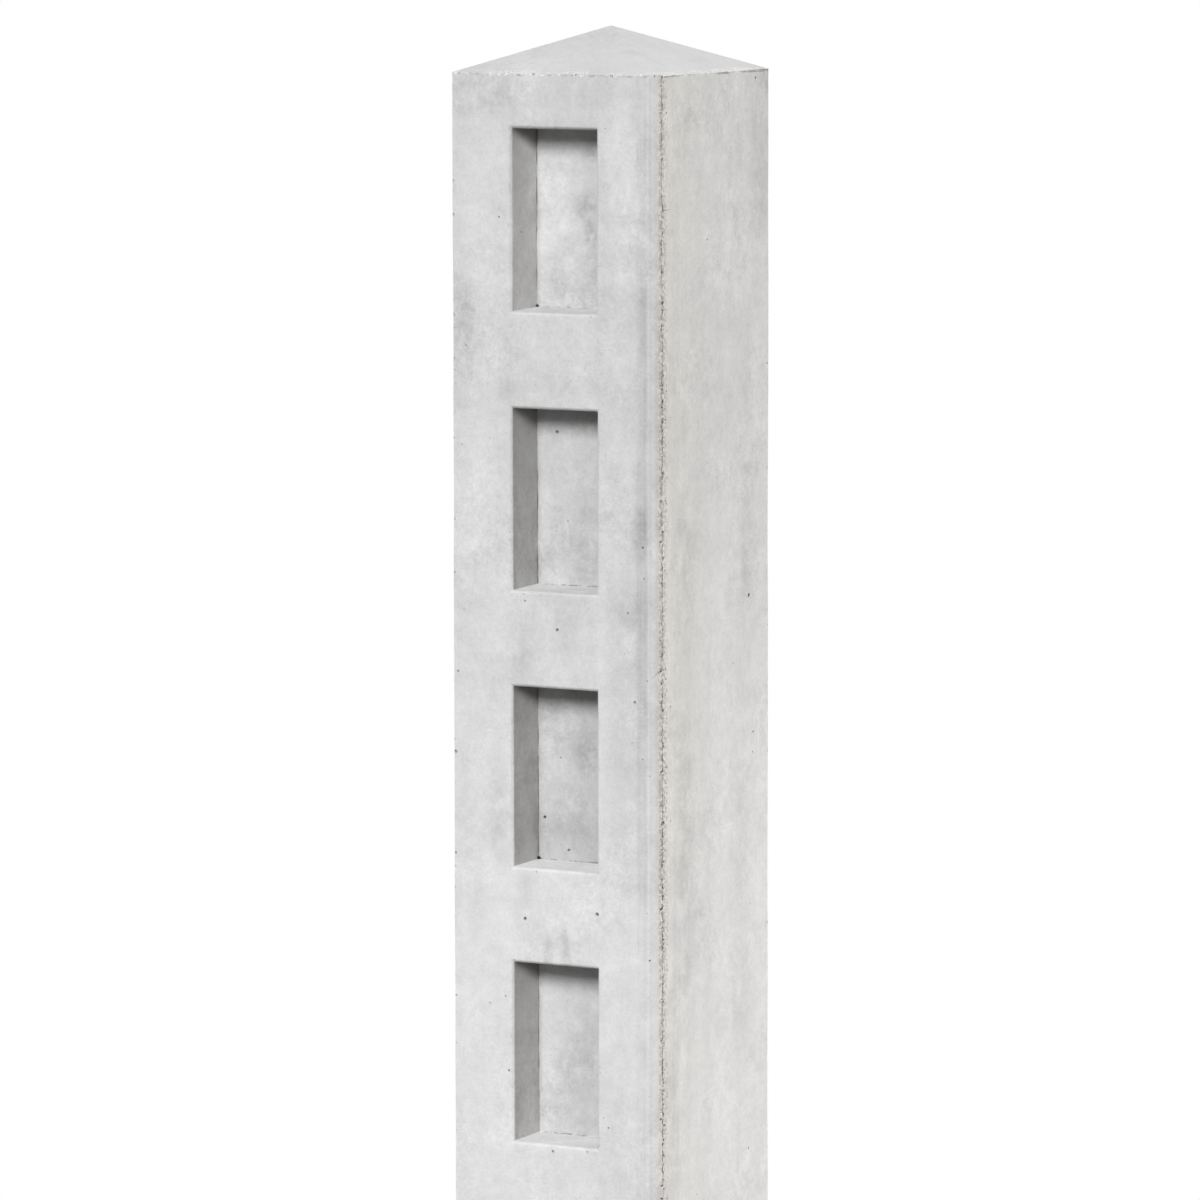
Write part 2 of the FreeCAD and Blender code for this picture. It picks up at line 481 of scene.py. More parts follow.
# %% Cut the joint lines
LINE_DROP = 0.7 * MM
LEAK_INSET = 0.1 * MM
LEAK_SHIFT = 0.5 * MM
OVERRUN = 1.0 * MM
EAVE_END = 18 * MM

line_level = eave - LINE_DROP
inner = half_side - ARRIS_BREAK
chamfered = half_side - CORNER_CHAMFER
back_wall = seats[0].y
back_side = POCKET_WIDTH / 2 - POCKET_DRAFT
back_rise = POCKET_HEIGHT / 2 - POCKET_DRAFT


def back_corner(seat, across, up):
    """One corner of a pocket's back wall, by two signs."""
    return across * back_side, back_wall, seat.z + up * back_rise


leak_edge = (half_side - LEAK_INSET, -chamfered + LEAK_SHIFT)
grooves = {
    "eave_right": [[(half_side, -chamfered, line_level), (half_side, inner, line_level)]],
    "eave_end": [[(half_side, inner - EAVE_END, line_level), (half_side, inner, line_level)]],
    "eave_front": [[(-inner, -half_side, line_level), (chamfered, -half_side, line_level)]],
    "leak": [[(*leak_edge, -OVERRUN), (*leak_edge, eave)]],
    "pocket_foot": [[back_corner(seat, -1, -1), back_corner(seat, 1, -1)] for seat in seats],
    "pocket_corner": [[back_corner(seat, -1, -1), back_corner(seat, -1, 1)] for seat in seats],
}
groove_wires = {name: wire_object("groove_" + name, runs) for name, runs in grooves.items()}


def groove_along(name, step, thinnest, widest, wander, fineness, seed):
    """Cuts a groove along a named path. Lengths are in millimetres, and fineness is swings in a metre."""
    use_tree(casting, joint_tree, {
        "Path": groove_wires[name], "Step": step * MM, "Thinnest": thinnest * MM, "Widest": widest * MM,
        "Wander": wander * MM, "Fineness": fineness, "Seed": seed,
    })


# Path, step, thinnest, widest, wander, fineness, seed
groove_along("eave_right", 1.2, 0.4, 1.2, 0.6, 120.0, 1.0)
groove_along("eave_end", 1.2, 0.9, 1.8, 0.4, 120.0, 6.0)
groove_along("eave_front", 0.8, 0.03, 0.75, 1.4, 300.0, 4.0)
groove_along("leak", 0.7, 0.15, 1.1, 1.4, 420.0, 2.0)
groove_along("pocket_foot", 0.7, 0.02, 1.0, 0.7, 320.0, 3.0)
groove_along("pocket_corner", 1.2, 0.2, 0.8, 0.3, 120.0, 5.0)
settle(casting)
print("joint lines cut:", measured(casting.data))

# %% [markdown]
# ## Crumbled edges
# The chamfer's right-hand edge is pitted from top to bottom: the mould leaked there, the water took the
# cement with it, and bare sand was left. The pocket mouths and the eave have smaller nicks. All of them
# are many small bites that follow a path. The tree sets points along the path, shakes them, drops those
# where a noise is low, so that nicks come in clumps, and takes an angular pebble of twenty faces out of the
# concrete at each point. The pebbles are turned, sized and squashed at random, so no two bites are alike.

# %% Tree for crumbled edges
CLUMPS_IN_A_METRE = 60.0
FULL_TURN = 6.28


def crumble_tree():
    """Bites angular pebbles out of the concrete along a path."""
    tree, given = start_tree("crumbled_edge", {
        "Geometry": "Geometry", "Path": "Object", "Spacing": "Float", "Smallest": "Float",
        "Largest": "Float", "Reach": "Vector", "Bare Share": "Float", "Seed": "Int",
    })
    line = add_node(tree, "GeometryNodeMeshToCurve", {0: shape_of(tree, given["Path"])})[0]
    points = add_node(tree, "GeometryNodeCurveToPoints", {"Curve": line, "Length": given["Spacing"]},
                      mode="LENGTH")[0]
    place = add_node(tree, "GeometryNodeInputPosition")[0]
    clump = seeded_noise(tree, place, given["Seed"], CLUMPS_IN_A_METRE, 2.0)[0]
    bare = add_node(tree, "FunctionNodeCompare", {0: clump, 1: given["Bare Share"]},
                    operation="LESS_THAN")[0]
    points = add_node(tree, "GeometryNodeDeleteGeometry", {0: points, 1: bare}, domain="POINT")[0]
    shake = random_vector(tree, scaled(tree, given["Reach"], -1.0), given["Reach"], given["Seed"])
    points = add_node(tree, "GeometryNodeSetPosition", {"Geometry": points, "Offset": shake})[0]

    pebble = add_node(tree, "GeometryNodeMeshIcoSphere", {"Radius": 1.0, "Subdivisions": 1})[0]
    chance = calculate(tree, "POWER", random_number(tree, 0.0, 1.0, given["Seed"]), 2.0)
    size = add_node(tree, "ShaderNodeMapRange", {0: chance, 3: given["Smallest"], 4: given["Largest"]})[0]
    squash = random_vector(tree, (0.7, 0.7, 0.7), (1.3, 1.3, 1.3), given["Seed"])
    spin = random_vector(tree, (0.0, 0.0, 0.0), (FULL_TURN, FULL_TURN, FULL_TURN), given["Seed"])
    pebbles = spread(tree, points, pebble, {"Rotation": spin, "Scale": scaled(tree, squash, size)})
    end_tree(tree, cut_away(tree, given["Geometry"], pebbles))
    return tree


crumble = crumble_tree()
print("crumbled edge tree:", len(crumble.nodes), "nodes")

# %% [markdown]
# The paths are the edges themselves, drawn as bare wires: the chamfer's two edges, the other upright edges,
# the sides of the pocket mouths, the eave and the foot. The worst edge gets a coarse and a fine pass, and
# the sandy band beside it a third, because each pass bites into what the one before has left.

# %% Crumble the edges
mouth_side = POCKET_WIDTH / 2 + MOUTH_BEVEL
mouth_rise = POCKET_HEIGHT / 2 + MOUTH_BEVEL
front = -half_side
SAND_BAND = 5.2 * MM
CORNER_DROP = 1.5 * MM


def upright(x, y):
    """One upright run from the foot to the eave."""
    return [(x, y, 0), (x, y, eave)]


def mouth_run(seat, *corners):
    """A run along a pocket's mouth, through corners given as signs."""
    return [(sx * mouth_side, front, seat.z + sz * mouth_rise) for sx, sz in corners]


paths = {
    "chamfer_right": [upright(*leak_edge)],
    "sand_band": [upright(half_side, -chamfered + SAND_BAND / 2)],
    "chamfer_left": [upright(chamfered, front)],
    "back_right": [upright(inner, half_side), upright(half_side, inner)],
    "left_edges": [upright(-half_side, -inner), upright(-inner, front), upright(-half_side, inner)],
    "mouth_left": [mouth_run(seat, (-1, -1), (-1, 1)) for seat in seats],
    "mouth_head": [mouth_run(seat, (-1, 1), (1, 1)) for seat in seats],
    "mouth_rest": [mouth_run(seat, (1, 1), (1, -1), (-1, -1)) for seat in seats],
    "eave_front": [[(-inner, front, eave), (chamfered, front, eave), (half_side, -chamfered, eave)]],
    "eave_rest": [[(half_side, -chamfered, eave), (half_side, inner, eave), (-inner, half_side, eave),
                   (-half_side, -inner, eave)]],
    "back_right_corner": [[(half_side, inner, eave - CORNER_DROP), (half_side, inner, eave),
                           (inner, half_side, eave)]],
    "foot": [[(-inner, front, 0), (half_side, front, 0), (half_side, half_side, 0),
              (-half_side, half_side, 0), (-half_side, front, 0)]],
}
path_wires = {name: wire_object("path_" + name, runs) for name, runs in paths.items()}


def crumble_along(name, spacing, smallest, largest, reach, bare, seed):
    """Adds one pass of bites along a named path. Lengths are in millimetres."""
    use_tree(casting, crumble, {
        "Path": path_wires[name], "Spacing": spacing * MM, "Smallest": smallest * MM,
        "Largest": largest * MM, "Reach": [part * MM for part in reach], "Bare Share": bare, "Seed": seed,
    })


# Path, spacing, smallest, largest, reach, bare share, seed
crumble_along("chamfer_right", 4.0, 0.5, 1.0, (0.3, 0.8, 2.0), 0.45, 3)
crumble_along("chamfer_right", 1.1, 0.3, 0.65, (0.3, 1.0, 0.5), 0.34, 5)
crumble_along("sand_band", 0.9, 0.25, 0.55, (0.15, 2.2, 0.5), 0.40, 8)
crumble_along("chamfer_left", 6.0, 0.2, 0.55, (1.2, 0.1, 3.0), 0.45, 13)
crumble_along("back_right", 3.6, 0.4, 1.2, (0.4, 0.4, 1.5), 0.50, 17)
crumble_along("left_edges", 5.0, 0.3, 0.9, (0.3, 0.3, 2.0), 0.52, 19)
crumble_along("mouth_left", 1.4, 0.15, 0.45, (0.6, 0.2, 0.8), 0.38, 23)
crumble_along("mouth_head", 2.0, 0.2, 0.5, (0.9, 0.2, 0.4), 0.42, 29)
crumble_along("mouth_rest", 3.0, 0.2, 0.55, (0.4, 0.2, 0.6), 0.46, 31)
crumble_along("eave_front", 1.5, 0.3, 0.75, (0.7, 0.3, 0.6), 0.40, 37)
crumble_along("eave_rest", 3.0, 0.25, 0.7, (0.4, 0.4, 0.4), 0.48, 41)
crumble_along("back_right_corner", 0.8, 0.9, 1.9, (0.4, 0.4, 0.4), 0.10, 43)
crumble_along("foot", 3.5, 0.5, 1.8, (0.5, 0.5, 0.5), 0.45, 47)
settle(casting)
print("crumbled edges:", measured(casting.data))

# %% [markdown]
# ## Air holes
# Bubbles that were trapped against the mould leave small round holes in the faces. Some of them are easy
# to see in the photograph, so each of those is put back where it was: a ray goes from the camera through
# its pixel to the plane of the face. Each has a radius in millimetres. Two larger ones are in the inner
# corners of the first and the third pocket, where the paste didn't fill the mould. The rest are scattered
# over the whole skin with a fixed seed. All are cut with a ball of forty faces, and those in a face are sunk
# a little, so that they are narrower at the mouth.

# %% From a pixel to a face
faces = {
    "front": (Vector((0, -half_side, 0)), Vector((0, -1, 0))),
    "side": (Vector((half_side, 0, 0)), Vector((1, 0, 0))),
    "chamfer": (Vector((half_side, -chamfered, 0)), Vector((1, -1, 0)).normalized()),
    "pocket": (Vector((0, back_wall, 0)), Vector((0, -1, 0))),
    "cap": (Vector((0, 0, height)), Vector((0, -CAP_RISE, half_side)).normalized()),
}


def seen_at(face, pixel):
    """Gives the place on a face's plane that a pixel of the photograph shows."""
    across = (pixel[0] - PICTURE_SIDE / 2) / FOCAL_PIXELS
    down = (pixel[1] - PICTURE_SIDE / 2) / FOCAL_PIXELS
    ray = right_axis * across - up_axis * down - back_axis
    point, normal = faces[face]
    return eye + ray * ((point - eye).dot(normal) / ray.dot(normal))


print("faces that a pixel can be put on:", len(faces))

# %% Find the noted holes
# Name: face, pixel, radius in millimetres
NOTED_HOLES = {
    "over_first_pocket": ("front", (529, 127), 0.6),
    "beside_first_pocket": ("front", (605, 129), 0.5),
    "left_of_first_pocket": ("front", (499, 217), 0.5),
    "over_second_pocket": ("front", (508, 390), 0.4),
    "by_the_chamfer_upper": ("front", (642.5, 548), 0.7),
    "by_the_chamfer_middle": ("front", (644, 579), 0.5),
    "under_second_pocket": ("front", (525, 601), 0.5),
    "between_pockets_right": ("front", (627.5, 613.5), 0.6),
    "between_pockets_middle": ("front", (557, 630), 0.8),
    "left_edge": ("front", (458, 671), 0.6),
    "over_third_pocket_edge": ("front", (647, 681.5), 0.5),
    "over_third_pocket_right": ("front", (634.6, 702.5), 0.7),
    "right_of_third_pocket": ("front", (632, 743), 0.4),
    "under_third_pocket_right": ("front", (597, 914.6), 0.9),
    "under_third_pocket_left": ("front", (525, 918.6), 0.8),
    "by_the_chamfer_lower": ("front", (635, 949), 0.4),
    "left_of_fourth_pocket_high": ("front", (505.6, 996), 0.5),
    "left_of_fourth_pocket": ("front", (490, 1003), 0.4),
    "left_of_fourth_pocket_low": ("front", (509, 1070.5), 0.6),
    "left_edge_low": ("front", (474, 1126), 0.3),
    "right_of_fourth_pocket": ("front", (603.6, 1118), 0.4),
    "right_of_fourth_pocket_low": ("front", (608.5, 1128), 0.5),
    "under_fourth_pocket": ("front", (552.7, 1151.6), 0.7),
    "chamfer_upper": ("chamfer", (653, 531), 0.3),
    "chamfer_middle": ("chamfer", (650, 664), 0.3),
    "chamfer_lower": ("chamfer", (650, 961), 0.6),
    "side_upper": ("side", (749, 595), 0.9),
    "side_lower": ("side", (749, 1148), 0.6),
    "second_pocket_floor": ("pocket", (557, 432), 0.8),
    "third_pocket_floor": ("pocket", (545, 817), 0.8),
    "third_pocket_floor_low": ("pocket", (569, 850), 0.7),
}
# Pocket number, counted from 0: radius in millimetres
CORNER_HOLES = {0: 1.0, 2: 1.3}
HOLE_SINK = 0.3

centres = []
radii = []
for face, pixel, radius in NOTED_HOLES.values():
    centres.append(seen_at(face, pixel) - faces[face][1] * (HOLE_SINK * radius * MM))
    radii.append(radius * MM)
for number, radius in CORNER_HOLES.items():
    centres.append(back_corner(seats[number], -1, -1))
    radii.append(radius * MM)
hole_points = bpy.data.meshes.new("noted_holes")
hole_points.from_pydata(centres, [], [])
hole_points.attributes.new("radius", "FLOAT", "POINT").data.foreach_set("value", radii)
noted = bpy.data.objects.new("noted_holes", hole_points)
scene.collection.objects.link(noted)
print("noted holes:", len(centres), "with radii from", min(radii) / MM, "to", max(radii) / MM, "mm")


# %% Tree for air holes
def air_hole_tree():
    """Cuts the noted holes and a seeded scatter of smaller ones."""
    tree, given = start_tree("air_holes", {
        "Geometry": "Geometry", "Noted": "Object", "Density": "Float", "Apart": "Float",
        "Smallest": "Float", "Largest": "Float", "Seed": "Int",
    })
    ball = add_node(tree, "GeometryNodeMeshUVSphere", {"Segments": 8, "Rings": 5, "Radius": 1.0})[0]
    noted_size = add_node(tree, "GeometryNodeInputNamedAttribute", {"Name": "radius"})["Attribute"]
    noted_balls = spread(tree, shape_of(tree, given["Noted"]), ball, {"Scale": noted_size})
    cut = cut_away(tree, given["Geometry"], noted_balls)

    points = add_node(tree, "GeometryNodeDistributePointsOnFaces", {
        "Mesh": given["Geometry"], "Distance Min": given["Apart"], "Density Max": given["Density"],
        "Seed": given["Seed"]}, distribute_method="POISSON")
    chance = calculate(tree, "POWER", random_number(tree, 0.0, 1.0, given["Seed"]), 3.0)
    size = add_node(tree, "ShaderNodeMapRange", {0: chance, 3: given["Smallest"], 4: given["Largest"]})[0]
    inward = scaled(tree, points["Normal"], calculate(tree, "MULTIPLY", size, -HOLE_SINK))
    sunk = add_node(tree, "GeometryNodeSetPosition", {"Geometry": points["Points"], "Offset": inward})[0]
    balls = spread(tree, sunk, ball, {"Scale": size})
    end_tree(tree, cut_away(tree, cut, balls))
    return tree


use_tree(casting, air_hole_tree(), {
    "Noted": noted, "Density": 650.0, "Apart": 5 * MM,
    "Smallest": 0.2 * MM, "Largest": 0.6 * MM, "Seed": 11,
})
settle(casting)
# The balls leave their radius on the faces that they cut, and nothing needs it any more.
casting.data.attributes.remove(casting.data.attributes["radius"])
print("air holes cut:", measured(casting.data))

# %% [markdown]
# ## The skin and what lies under it
# Under the smooth cement skin the concrete is darker and sandier, and the hollows there also get painted
# shade. The finish has to know where the skin is broken, so one more tree measures how far each point lies
# below the sound casting and keeps that depth as an attribute. Before that it counts the points of every
# separate island of the mesh and drops the small ones: a crumb that was cut loose all round would hang in
# the air, and a bite that never reached the skin would be a hidden hollow. Last it sets the shading: smooth,
# with a sharp edge where two faces turn away from each other by more than the limit.

# %% Tree for the broken skin
def broken_skin_tree():
    """Drops loose crumbs, stores the depth below the sound casting, and shades chips with sharp edges."""
    tree, given = start_tree("broken_skin", {
        "Geometry": "Geometry", "Sound Casting": "Object", "Sharp Angle": "Float", "Fewest Points": "Int",
    })
    island = add_node(tree, "GeometryNodeInputMeshIsland")[0]
    counted = {"Value": 1, "Group ID": island}
    points = add_node(tree, "GeometryNodeAccumulateField", counted, data_type="INT")["Total"]
    loose = add_node(tree, "FunctionNodeCompare", {2: points, 3: given["Fewest Points"]},
                     data_type="INT", operation="LESS_THAN")[0]
    crumbs = {0: given["Geometry"], 1: loose}
    whole = add_node(tree, "GeometryNodeDeleteGeometry", crumbs, domain="POINT")[0]
    sound_mesh = shape_of(tree, given["Sound Casting"])
    distance = add_node(tree, "GeometryNodeProximity", {0: sound_mesh}, target_element="FACES")["Distance"]
    known = add_node(tree, "GeometryNodeStoreNamedAttribute", {
        "Geometry": whole, "Name": "cut_depth", "Value": distance},
        data_type="FLOAT", domain="POINT")[0]
    smooth = add_node(tree, "GeometryNodeSetShadeSmooth", {0: known, "Shade Smooth": True},
                      domain="FACE")[0]
    angle = add_node(tree, "GeometryNodeInputMeshEdgeAngle")[0]
    sharp = add_node(tree, "FunctionNodeCompare", {0: angle, 1: given["Sharp Angle"]},
                     operation="GREATER_THAN")[0]
    shaded = add_node(tree, "GeometryNodeSetShadeSmooth", {0: smooth, 1: sharp, "Shade Smooth": False},
                      domain="EDGE")[0]
    end_tree(tree, shaded)
    return tree


use_tree(casting, broken_skin_tree(), {
    "Sound Casting": sound, "Sharp Angle": math.radians(28), "Fewest Points": 1000,
})
settle(casting)
depths = [item.value for item in casting.data.attributes["cut_depth"].data]
print("deepest cut", round(max(depths) / MM, 2), "mm:", measured(casting.data))

# %% [markdown]
# ## The concrete
# Cast concrete looks flat grey from afar, but it is never one colour. Close by there are broad clouds from
# the drying, a mottling of every size down to the sand grains, and upright streaks where the mould was
# drawn off. All of them are noises on Object coordinates, in metres, so they stay put on the post at their
# true size. The mottling has a roughness near 1, so its small spots are nearly as strong as its large ones.
# First come small helpers, then the patterns.

# %% Helpers for the finish
concrete.use_nodes = True
tree = concrete.node_tree
tree.nodes.clear()
coordinates = add_node(tree, "ShaderNodeTexCoord")
place = coordinates["Object"]
east, north, level = add_node(tree, "ShaderNodeSeparateXYZ", {0: place})
facing_east, facing_north, facing_up = add_node(tree, "ShaderNodeSeparateXYZ", {0: coordinates["Normal"]})


def noise(scale, detail, seed, stretch=(1.0, 1.0, 1.0), roughness=0.6):
    """A noise on the post, with so many features in a metre. The seed is a shift, so no two are alike."""
    shifted = {"Vector": place, "Location": (seed, seed, seed), "Scale": stretch}
    spot = add_node(tree, "ShaderNodeMapping", shifted)[0]
    return add_node(tree, "ShaderNodeTexNoise", {
        "Vector": spot, "Scale": scale, "Detail": detail, "Roughness": roughness})[0]


def ramp(value, low, high):
    """Goes smoothly from 0 at low to 1 at high."""
    ends = {0: value, 1: low, 2: high}
    return add_node(tree, "ShaderNodeMapRange", ends, interpolation_type="SMOOTHSTEP")[0]


def fade(value, low, high):
    """Goes smoothly from 1 at low to 0 at high."""
    ends = {0: value, 1: low, 2: high, 3: 1.0, 4: 0.0}
    return add_node(tree, "ShaderNodeMapRange", ends, interpolation_type="SMOOTHSTEP")[0]


def both(first, second):
    """Where two masks are both on."""
    return calculate(tree, "MULTIPLY", first, second)


def size_of(value):
    """A value without its sign."""
    return calculate(tree, "ABSOLUTE", value)


def blend(mask, under, over, share=1.0):
    """Lays a share of one colour over another where the mask is on."""
    if share < 1.0:
        mask = both(mask, share)
    return add_node(tree, "ShaderNodeMix", {0: mask, 6: under, 7: over}, data_type="RGBA")[2]


# %% Patterns on the skin
clouds = noise(14.0, 3.0, 1.0)
worn = ramp(noise(24.0, 2.0, 2.0), 0.45, 0.62)
mottling = noise(60.0, 6.0, 3.0, roughness=0.95)
grains = noise(900.0, 2.0, 4.0)
streaks = noise(130.0, 4.0, 5.0, (1.0, 1.0, 0.03))
fine_streaks = noise(420.0, 3.0, 17.0, (1.0, 1.0, 0.02))
print("patterns:", len(tree.nodes), "nodes")

# %% [markdown]
# The patterns are not equally strong all over, so masks say where on the post a point lies: on a side, on
# the chamfer, on the front skin, in a pocket, or beside the edge that leaked. A mask is built from the
# point's place and from the direction that the surface faces. The pockets repeat, so the depth below a
# pocket's head is a remainder: the depth below the first head, divided by the pitch.

# %% Where things are on the post
pocket_head = seats[0].z + POCKET_HEIGHT / 2
lowest_sill = seats[-1].z - POCKET_HEIGHT / 2
PALER_DROP = 480 * MM

outermost = ramp(size_of(east), half_side - 2 * MM, half_side - 1 * MM)
on_sides = both(ramp(size_of(facing_east), 0.6, 0.8), outermost)
on_right = both(ramp(facing_east, 0.6, 0.8), outermost)
on_front_skin = fade(north, front + 0.8 * MM, front + 1.2 * MM)
on_chamfer = both(ramp(facing_east, 0.4, 0.5), fade(facing_east, 0.8, 0.9))
on_chamfer = both(on_chamfer, ramp(east, chamfered - 0.5 * MM, chamfered))
on_cap = both(ramp(level, eave - 0.5 * MM, eave + 0.5 * MM), ramp(facing_up, 0.7, 0.8))
beside_leak = ramp(east, chamfered - 12 * MM, chamfered - 3 * MM)
from_leak = size_of(calculate(tree, "ADD", north, chamfered))
low_down = fade(level, eave - PALER_DROP, eave)

between_sides = fade(size_of(east), mouth_side - 0.2 * MM, mouth_side + 0.2 * MM)
behind_front = both(ramp(north, front + 0.6 * MM, front + 1.6 * MM),
                    fade(north, back_wall + 2 * MM, back_wall + 3 * MM))
beside_pockets = both(ramp(level, lowest_sill - 6 * MM, lowest_sill - 5 * MM),
                      fade(level, pocket_head + 5 * MM, pocket_head + 6 * MM))
in_pocket = both(both(between_sides, behind_front), beside_pockets)
outside = calculate(tree, "SUBTRACT", 1.0, in_pocket)
on_wall = both(in_pocket, ramp(size_of(facing_east), 0.5, 0.8))
on_back_wall = both(in_pocket, fade(facing_north, -0.8, -0.5))
on_sill = both(in_pocket, ramp(facing_up, 0.5, 0.8))
below_first_head = calculate(tree, "SUBTRACT", pocket_head, level)
below_head = calculate(tree, "FLOORED_MODULO", below_first_head, pocket_pitch)
print("masks:", len(tree.nodes), "nodes")

# %% [markdown]
# Each pattern shifts the tone a little up or down. The shifts are added up into one number near 1 that the
# colour is multiplied by. Outside the pockets the skin is paler further down. The cap is the smoothest part,
# as if floated by hand.

# %% Tone of the skin
def shift(tone, amount, pattern):
    """Adds a pattern that swings round one half to the tone."""
    swing = calculate(tree, "SUBTRACT", pattern, 0.5)
    return calculate(tree, "MULTIPLY_ADD", swing, amount, tone)


def darken(tone, amount, mask):
    """Takes a share off the tone where the mask is on. A share below zero lightens."""
    return calculate(tree, "MULTIPLY_ADD", mask, -amount, tone)


mottling_share = calculate(tree, "MULTIPLY_ADD", worn, 0.40, 0.70)
mottling_share = calculate(tree, "MULTIPLY_ADD", on_cap, -0.40, mottling_share)
streaks_share = calculate(tree, "MULTIPLY_ADD", on_cap, -0.10, 0.10)
fine_share = calculate(tree, "MULTIPLY", both(beside_leak, fade(from_leak, 12 * MM, 30 * MM)), 0.16)
tone = shift(0.985, 0.16, clouds)
tone = darken(tone, 0.04, both(on_front_skin, ramp(east, -20 * MM, 35 * MM)))
tone = shift(tone, mottling_share, mottling)
tone = shift(tone, 0.14, grains)
tone = shift(tone, streaks_share, streaks)
tone = shift(tone, fine_share, fine_streaks)
tone = darken(tone, 0.10, ramp(noise(620.0, 1.0, 6.0), 0.68, 0.76))
tone = darken(tone, -0.17, both(low_down, outside))
print("tone:", len(tree.nodes), "nodes")

# %% [markdown]
# The four pockets aren't equally clean. Three shares for each pocket say how much darker its side walls, its
# back wall and its sill are. A share below zero is paler. They were set by comparing renders with the
# photograph. The walls and the back walls also darken towards the sill.

# %% Tone of the pockets
# Pocket: side walls, back wall, sill
POCKET_TONES = {
    "first": (-0.10, 0.04, -0.01),
    "second": (0.09, 0.06, -0.06),
    "third": (0.12, 0.11, -0.16),
    "fourth": (0.01, 0.00, -0.11),
}

for seat, (wall, back_share, sill) in zip(seats, POCKET_TONES.values()):
    from_middle = size_of(calculate(tree, "SUBTRACT", level, seat.z))
    here = fade(from_middle, pocket_pitch / 2 - MM, pocket_pitch / 2)
    tone = darken(tone, wall, both(here, on_wall))
    tone = darken(tone, back_share, both(here, on_back_wall))
    tone = darken(tone, sill, both(here, on_sill))
# Painted shade: the back walls are a little darker towards the right wall.
tone = darken(tone, 0.03, both(on_back_wall, ramp(east, -5 * MM, 12 * MM)))
tone = darken(tone, 0.12, both(on_back_wall, ramp(below_head, 48 * MM, 70 * MM)))
tone = darken(tone, 0.18, both(on_wall, ramp(below_head, 12 * MM, 75 * MM)))
print("pockets:", len(POCKET_TONES), "of", len(seats), "toned")

# %% [markdown]
# Some stains and washed spots are easy to see in the photograph. Each is a soft ball of darker or paler
# tone, placed by the pixel at its middle and sized in millimetres along the face. A noise eats into it, so
# that no oval shows. In the pockets the noise is finer, so the patches there break into small blots. The
# pocket patches towards the right wall and the brown one under the first head are partly painted shade.

# %% Stains and washed spots
STAIN_DEPTH = 5
# Name: face, pixel, half width and half height in millimetres, strength
STAINS = {
    "top_left": ("front", (463, 92), 11, 13, 0.09),
    "under_the_eave": ("front", (560, 92), 50, 9, 0.05),
    "under_the_eave_left": ("front", (494, 98), 9, 9, 0.14),
    "washed_beside_first_pocket": ("front", (496, 205), 14, 36, -0.06),
    "washed_right_of_first_pocket": ("front", (619, 165), 10, 44, -0.11),
    "left_edge_cloud": ("front", (460, 330), 10, 28, 0.16),
    "under_first_pocket": ("front", (555, 330), 22, 6, 0.06),
    "right_of_first_pocket": ("front", (605, 300), 6, 16, 0.05),
    "over_second_pocket_left": ("front", (510, 390), 7, 6, 0.17),
    "over_second_pocket": ("front", (565, 385), 18, 6, 0.10),
    "washed_beside_second_pocket": ("front", (482, 465), 16, 22, -0.06),
    "smudge_by_the_chamfer": ("front", (640, 535), 5, 13, 0.12),
    "dull_by_the_chamfer": ("front", (643, 590), 5, 62, 0.07),
    "patch_by_the_chamfer": ("front", (630, 612), 11, 13, 0.11),
    "between_second_and_third": ("front", (552, 618), 24, 16, 0.09),
    "right_of_third_pocket": ("front", (626, 700), 9, 70, 0.10),
    "over_third_pocket": ("front", (522, 655), 10, 11, 0.14),
    "left_of_third_pocket": ("front", (468, 812), 10, 14, 0.07),
    "beside_third_mouth": ("front", (499, 812), 6, 24, 0.20),
    "under_third_pocket": ("front", (522, 900), 7, 16, 0.08),
    "washed_under_third_pocket": ("front", (578, 893), 14, 9, -0.05),
    "over_fourth_pocket_left": ("front", (547, 955), 2.5, 9, 0.16),
    "over_fourth_pocket_right": ("front", (565, 950), 2.5, 11, 0.18),
    "side_top_right": ("side", (761, 150), 12, 45, 0.14),
    "side_top_corner": ("side", (766, 86), 6, 8, 0.16),
    "side_left_band": ("side", (684, 700), 10, 150, 0.09),
    "side_middle": ("side", (693, 532), 16, 15, 0.09),
    "side_middle_right": ("side", (748, 545), 9, 32, 0.12),
    "side_low": ("side", (686, 935), 18, 34, 0.10),
    "side_low_at_the_leak": ("side", (671, 1110), 9, 46, 0.14),
    "washed_side": ("side", (722, 800), 14, 110, -0.06),
    "washed_side_low": ("side", (728, 1100), 26, 42, -0.07),
    "washed_back_edge": ("side", (760, 880), 10, 120, -0.09),
    # Pocket patches: those towards the right wall and the brown one under the first head are partly painted
    # shade.
    "first_pocket_patch": ("pocket", (587, 207), 6, 7, 0.20),
    "first_pocket_spot": ("pocket", (591, 236), 3, 5, 0.20),
    "first_pocket_right": ("pocket", (591, 265), 4, 24, 0.12),
    "first_pocket_brown": ("pocket", (591, 152), 4, 6, 0.20),
    "second_pocket_right": ("pocket", (586, 530), 7, 20, 0.10),
    "third_pocket_right": ("pocket", (587, 757), 6, 9, 0.20),
    "third_pocket_low": ("pocket", (567, 815), 16, 14, 0.10),
    "fourth_pocket": ("pocket", (578, 1055), 12, 22, 0.12),
    "cap_smudge": ("cap", (635, 51), 6, 6, 0.07),
    "cap_left": ("cap", (478, 67), 12, 6, 0.07),
}
ragged = ramp(noise(60.0, 4.0, 7.0), 0.32, 0.54)
blots = ramp(noise(180.0, 3.0, 16.0), 0.32, 0.54)


